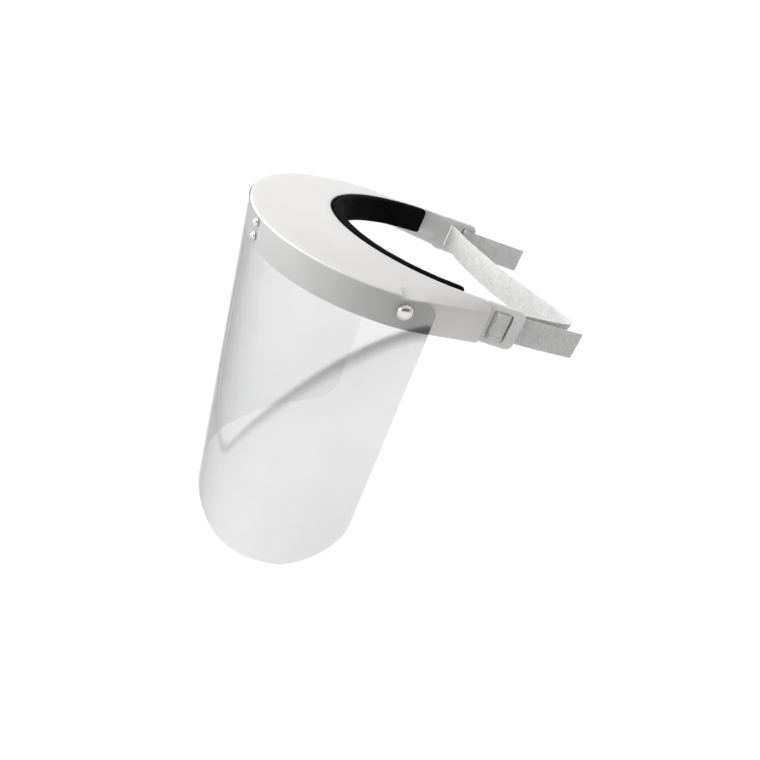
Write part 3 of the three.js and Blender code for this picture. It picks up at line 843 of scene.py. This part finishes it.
def sheet_mesh():
    half = sheet_half(SHEET_FRONT_STEPS, SHEET_CORNER_STEPS)
    other = [(mirrored(p), mirrored(n), e) for p, n, e in half[:0:-1]]
    stations = other + half
    rows = SHEET_ROWS
    places = []
    for _, _, from_edge in stations:
        t = clamp(1 - from_edge / SHEET_EAR)
        ear = SHEET_EAR * (1 - math.sqrt(1 - t * t))
        t = clamp(1 - from_edge / SHEET_CORNER_RUN)
        bottom = -(SHEET_SIDE_DROP + (SHEET_DROP - SHEET_SIDE_DROP) * math.sqrt(1 - t * t))
        places.append((from_edge, ear, bottom))
    grid = np.zeros((len(stations), rows + 1, 2))
    for i, ((p, _, from_edge), (_, ear, bottom)) in enumerate(zip(stations, places)):
        top = fold_height(p.y) - SHEET_TOP_GAP - ear
        grid[i, :, 0] = from_edge
        grid[i, :, 1] = np.linspace(top, bottom, rows + 1)
    darkening_with_painted_shade, push = crease_field(grid.reshape(-1, 2))
    darkening_with_painted_shade = darkening_with_painted_shade.reshape(len(stations), rows + 1)
    push = push.reshape(len(stations), rows + 1)
    rings = []
    shade = []
    for i, (p, along, from_edge) in enumerate(stations):
        lean, fold = lean_at(p.y), fold_height(p.y)
        on_left = p.x > 0
        normal = Vector((along.y, -along.x)) * (1 if i >= len(other) else -1)
        spread = SHEET_SPREAD * clamp(1 - from_edge / SHEET_SPREAD_RUN) ** 2

        def point(row, off):
            z = grid[i, row, 1]
            move = off - lean * (fold - z) - (push[i, row] if on_left else 0)
            drift = spread * max(0, grid[i, 0, 1] - z)
            place = p + normal * move + along * drift
            return Vector((place.x, place.y, z))

        rings.append(
            [point(row, GAP + SHEET_THICK) for row in range(rows + 1)]
            + [point(row, GAP) for row in range(rows, -1, -1)]
        )
        # the dent and the painted crease shade are on the wearer's left half only
        tones = darkening_with_painted_shade[i] if on_left else darkening_with_painted_shade[i] * 0
        shade.extend([*tones, *tones[::-1]])
    mesh = loft("sheet", rings)
    # the painted crease shade, one value a point, goes to the sheet's material
    layer = mesh.attributes.new("painted_crease_shade", "FLOAT", "POINT")
    layer.data.foreach_set("value", [float(x) for x in shade])
    return mesh


def make_sheet():
    mesh = sheet_mesh()
    smooth(mesh, 50)
    new_piece("clear_sheet", mesh, CLEAR, "visor", ["shield"])


make_sheet()


# ---- press studs ------------------------------------------------------------------------------
def middle_of(node):
    low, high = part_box(node)
    return (low + high) / 2


CAP_HEIGHT = 2.4 * MM
ON_AXIS = 0.001 * MM  # a profile's end, a hair off the axis so that no face is empty


def stud_profiles(cap):
    """Domed cap with a rolled rim, and the eyelet head inside the rim wall."""
    base = 2 * GAP + SHEET_THICK
    dome = [(ON_AXIS, base)]
    roll = 0.42 * MM
    for k in range(7):
        a = -math.pi / 2 + math.pi * k / 6
        dome.append((cap - roll + roll * math.cos(a), base + roll + roll * math.sin(a)))
    dome.append((cap * 0.84, base + 2 * roll - 0.1 * MM))
    for k in range(1, 9):
        a = math.pi / 2 * k / 8
        dome.append((cap * 0.8 * math.cos(a), base + 2 * roll + (CAP_HEIGHT - 2 * roll) * math.sin(a)))
    dome[-1] = (ON_AXIS, base + CAP_HEIGHT)
    head = [
        (ON_AXIS, -WALL - 1.3 * MM),
        (cap * 0.42, -WALL - 1.3 * MM),
        (cap * 0.54, -WALL - 1.15 * MM),
        (cap * 0.58, -WALL - 0.8 * MM),
        (cap * 0.58, -WALL - 0.35 * MM),
        (cap * 0.36, -WALL - 0.3 * MM),
        (cap * 0.36, base),
        (ON_AXIS, base),
    ]
    return dome, head


def make_studs():
    sizes = {"side": 4.8 * MM, "front_upper": 2.7 * MM, "front_lower": 2.7 * MM}
    for place, cap in sizes.items():
        for side in ("left", "right"):
            cap_node, stud_node = f"cap_{place}_{side}", f"stud_{place}_{side}"
            outward = (middle_of(cap_node) - middle_of(stud_node)).normalized()
            # the cap's own middle lies this far off the rim wall
            seat = middle_of(cap_node) - outward * (2 * GAP + SHEET_THICK + CAP_HEIGHT / 2)
            dome, head = stud_profiles(cap)
            cap_mesh = lathe(dome, seat, outward)
            smooth(cap_mesh, 50)
            new_piece(f"press_{cap_node}", cap_mesh, NICKEL, "visor", [cap_node])
            head_mesh = lathe(head, seat, outward, 32)
            smooth(head_mesh, 40)
            new_piece(f"press_{stud_node}", head_mesh, NICKEL, "visor", [stud_node])


make_studs()


# ---- strap ------------------------------------------------------------------------------------
# the webbing's section: share of its half width where the selvedge starts, and how much of
# the full thickness it has between the selvedges and at its very edge
SELVEDGE_FROM, BODY_FULLNESS, EDGE_FULLNESS = 0.8, 0.9, 0.45
# the back run tips its top rearwards by up to STRAP_LEAN degrees between its two ends;
# starts and lengths are shares of the strap's whole length
STRAP_LEAN = 14
LEAN_RISE_FROM, LEAN_RISE_OVER = 0.12, 0.2
LEAN_FALL_TO, LEAN_FALL_OVER = 0.86, 0.3
TAIL_WEAVE_START = 3 * MM  # the weave starts this far along, so it isn't the strap's again


def smooth_step(x):
    return x * x * (3 - 2 * x)


def webbing_mesh(name, route, lean_of, u_start=0.0, step=1.0 * MM):
    """Webbing on edge along a plan route; lean_of(share of length) tips its top outwards."""
    points, length = spline_points(route, step)
    across = 8
    section = []
    for face, order in ((-1, range(across + 1)), (1, range(across, -1, -1))):
        for k in order:
            u = -1 + 2 * k / across
            # full thickness just inside the edges, a little less between, thin at the very edge
            if abs(u) < SELVEDGE_FROM:
                plump = BODY_FULLNESS
            else:
                plump = 1.0 if abs(u) < 1 else EDGE_FULLNESS
            section.append(Vector((face * plump, u)))
    rings = []
    uvs = []
    for i, p in enumerate(points):
        ahead = points[min(i + 1, len(points) - 1)]
        behind = points[max(i - 1, 0)]
        d = (ahead - behind).normalized()
        out = Vector((-d.y, d.x, 0))
        lean = math.radians(lean_of(i / (len(points) - 1)))
        up = Vector((0, 0, math.cos(lean))) + out * math.sin(lean)
        face = Vector((0, 0, -math.sin(lean))) + out * math.cos(lean)
        middle = Vector((p.x, p.y, STRAP_Z))
        rings.append([
            middle + face * (q.x * STRAP_THICK / 2) + up * (q.y * STRAP_WIDTH / 2)
            for q in section
        ])
        along = u_start + length * i / (len(points) - 1)
        uvs.extend((along, q.y * STRAP_WIDTH / 2) for q in section)
    mesh = loft(name, rings, uvs)
    smooth(mesh, 60)
    return mesh


PLATE_INNER = BAND_HALF_WIDTH
PLATE_OUTER = BAND_HALF_WIDTH + PLATE_THICK
OVER_POST = PLATE_OUTER + GAP + STRAP_THICK / 2
BESIDE_PLATE = PLATE_INNER - GAP - STRAP_THICK / 2
BESIDE_TAIL = BESIDE_PLATE - STRAP_THICK - 2 * GAP
JOIN_Y = SLOT_BACK_Y + 4 * MM  # where a tail takes over from the strap's turn


def loop_route():
    return [
        (PLATE_INNER, SLOT_FRONT_Y - 0.2 * MM),
        (PLATE_OUTER - 0.6 * MM, SLOT_FRONT_Y + 0.1 * MM),
        (OVER_POST, SLOT_FRONT_Y + 2.2 * MM),
        (OVER_POST + 0.3 * MM, (SLOT_FRONT_Y + SLOT_BACK_Y) / 2),
        (OVER_POST, SLOT_BACK_Y - 2.2 * MM),
        (PLATE_OUTER - 0.6 * MM, SLOT_BACK_Y - 0.1 * MM),
        (PLATE_INNER + 0.8 * MM, SLOT_BACK_Y),
        (BESIDE_PLATE + 0.7 * MM, SLOT_BACK_Y + 0.2 * MM),
        (BESIDE_PLATE + 0.1 * MM, SLOT_BACK_Y + 0.9 * MM),
        (BESIDE_PLATE, SLOT_BACK_Y + 2 * MM),
        (BESIDE_PLATE, JOIN_Y),
    ]


def mm_route(pairs):
    return [(x * MM, y * MM) for x, y in pairs]


def make_strap():
    right_turn = [(-x, y) for x, y in loop_route()][::-1]
    route = [
        *right_turn,
        *mm_route([(-78.6, 95.7), (-74.4, 96.9), (-55, 101), (-32, 108.5)]),
        *mm_route([(-4, 120), (24, 137), (46, 150.5), (53, 153.6), (59, 151.5), (63.2, 145.7)]),
        *mm_route([(70, 129)]),
        (BESIDE_TAIL - 0.3 * MM, SLOT_FRONT_Y + 7.3 * MM),
        (BESIDE_TAIL + 0.3 * MM, SLOT_FRONT_Y + 2 * MM),
        *loop_route(),
    ]

    def lean(share):
        rise = clamp((share - LEAN_RISE_FROM) / LEAN_RISE_OVER)
        fall = clamp((LEAN_FALL_TO - share) / LEAN_FALL_OVER)
        return STRAP_LEAN * min(smooth_step(rise), smooth_step(fall))

    mesh = webbing_mesh("strap", route, lean)
    strap = new_piece("strap_elastic", mesh, WEBBING, None, [
        "strap_loop_left", "strap_loop_right", "strap_side_left", "strap_side_right", "strap_back",
    ])
    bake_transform(strap)
    tails = {
        "left": mm_route([(78.1, 130), (72.5, 157)]),
        "right": mm_route([(-80.5, 130), (-81.5, 156)]),
    }
    for side, free_end in tails.items():
        sign = 1 if side == "left" else -1
        beside = sign * BESIDE_PLATE
        route = [(beside, JOIN_Y), (beside, PLATE_BACK_Y), *free_end]
        mesh = webbing_mesh(f"tail_{side}", route, lambda share: 0.0, TAIL_WEAVE_START)
        tail = new_piece(f"strap_end_{side}", mesh, WEBBING, None, [f"strap_tail_{side}"])
        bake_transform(tail)


make_strap()


# ---- floor and light -----------------------------------------------------------------------------
FLOOR_HALF = 40  # metres
FLOOR_DROP = 250 * MM  # the shield hangs this far above the floor


def make_stage():
    mesh = bpy.data.meshes.new("floor")
    z = CAD_LOW.z - FLOOR_DROP
    corners = [(x * FLOOR_HALF, y * FLOOR_HALF, z) for x, y in ((-1, -1), (1, -1), (1, 1), (-1, 1))]
    mesh.from_pydata(corners, [], [(0, 1, 2, 3)])
    floor = bpy.data.objects.new("floor", mesh)
    bpy.context.scene.collection.objects.link(floor)
    m = Nodes("floor_paper")
    grain = m.noise(m.coordinates(), 60, 3)
    color = m.ramp(grain, "Fac", [(0.3, (0.955, 0.955, 0.955)), (0.7, (0.97, 0.97, 0.97))])
    m.link(color, "Color", m.shader, "Base Color")
    m.set(Roughness=0.95)
    m.shader.inputs["Specular IOR Level"].default_value = 0.1
    mesh.materials.append(m.material)


# soft lamps: strength, angle across in degrees, and the way the light travels
LAMPS = {
    "overhead": (0.4, 60, (0.5, 0.45, -1)),
    "front": (5.4, 50, (-0.12, 1, -0.02)),
}
# the surroundings brighten towards BRIGHT_SIDE: how far a direction has to turn to it, and
# the strength that it has there
BRIGHT_SIDE = (-0.95, -0.1, 0.3)
BRIGHT_FROM, BRIGHT_TO = -0.6, 0.12
DIM_STRENGTH, BRIGHT_STRENGTH = 0.16, 1.06


def make_lights():
    world = bpy.data.worlds.new("studio")
    bpy.context.scene.world = world
    world.use_nodes = True
    tree = world.node_tree
    background = tree.nodes["Background"]
    place = tree.nodes.new("ShaderNodeTexCoord")
    facing = tree.nodes.new("ShaderNodeVectorMath")
    facing.operation = "DOT_PRODUCT"
    facing.inputs[1].default_value = Vector(BRIGHT_SIDE).normalized()
    tree.links.new(place.outputs["Generated"], facing.inputs[0])
    level = tree.nodes.new("ShaderNodeMapRange")
    level.inputs["From Min"].default_value = BRIGHT_FROM
    level.inputs["From Max"].default_value = BRIGHT_TO
    level.inputs["To Min"].default_value = DIM_STRENGTH
    level.inputs["To Max"].default_value = BRIGHT_STRENGTH
    tree.links.new(facing.outputs["Value"], level.inputs["Value"])
    tree.links.new(level.outputs["Result"], background.inputs["Strength"])
    background.inputs["Color"].default_value = (1, 1, 1, 1)

    for name, (strength, across, travel) in LAMPS.items():
        data = bpy.data.lights.new(name, "SUN")
        data.energy = strength
        data.angle = math.radians(across)
        lamp = bpy.data.objects.new(name, data)
        lamp.rotation_euler = Vector(travel).to_track_quat("-Z", "Y").to_euler()
        bpy.context.scene.collection.objects.link(lamp)


make_stage()
make_lights()
bpy.context.scene.view_settings.view_transform = "Standard"
